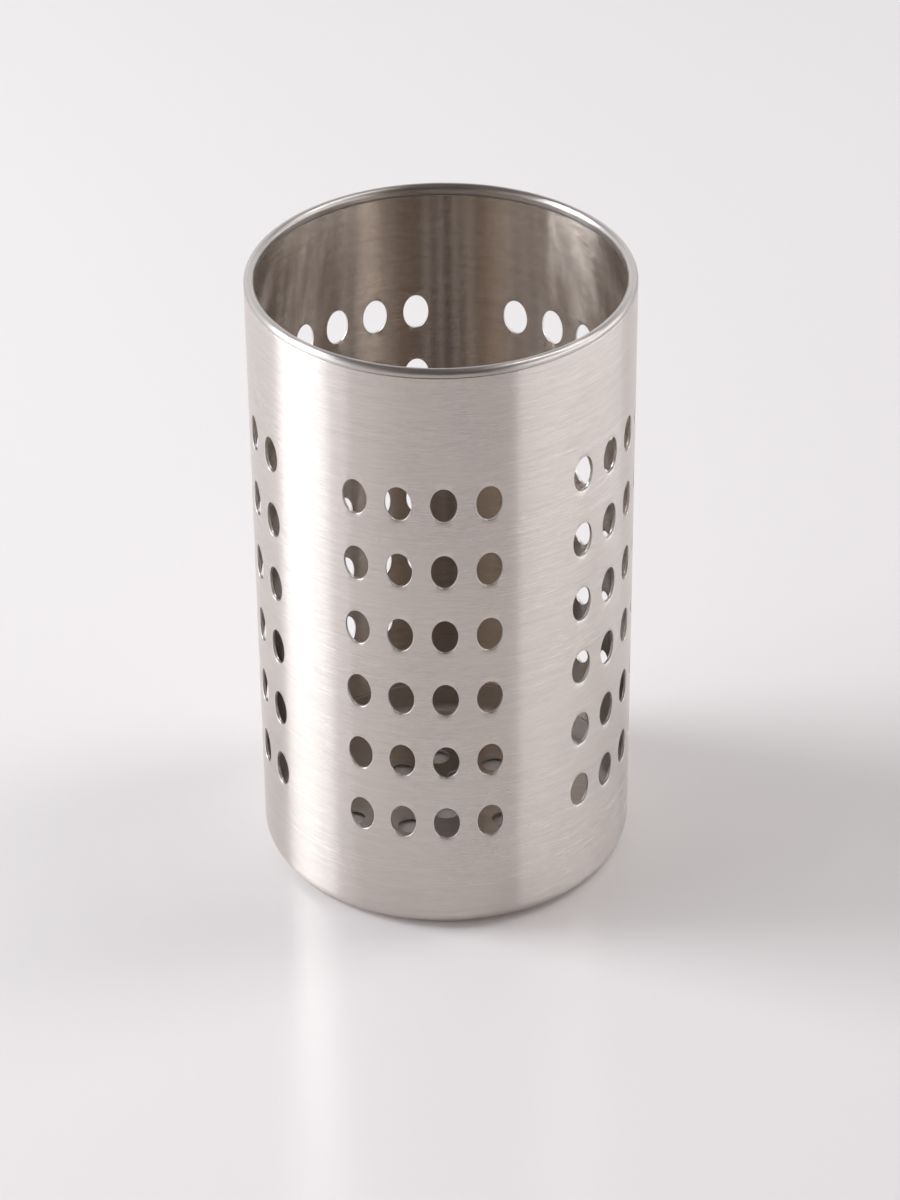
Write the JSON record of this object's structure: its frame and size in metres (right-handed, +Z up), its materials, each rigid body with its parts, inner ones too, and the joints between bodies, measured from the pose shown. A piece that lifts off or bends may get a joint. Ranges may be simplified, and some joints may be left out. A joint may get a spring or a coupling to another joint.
{
  "type": "cutlery holder",
  "caption": "Open-topped perforated steel cylinder that stands cutlery upright and drains it through its wall and floor.",
  "frame": {"origin": "centre of the foot, on the surface that the holder stands on", "axes": "+Z up along the cylinder's axis, -Y towards the viewer of the front group of holes"},
  "size_m": [0.098, 0.098, 0.1679],
  "materials": {
    "wall_steel": "brushed round the cylinder",
    "rim_steel": "rubbed smooth",
    "base_steel": "satin pressed sheet"
  },
  "bodies": {
    "root": {"perforated_wall": "wall_steel", "rim_ring": "rim_steel", "base_pan": "base_steel"}
  },
  "joints": []
}
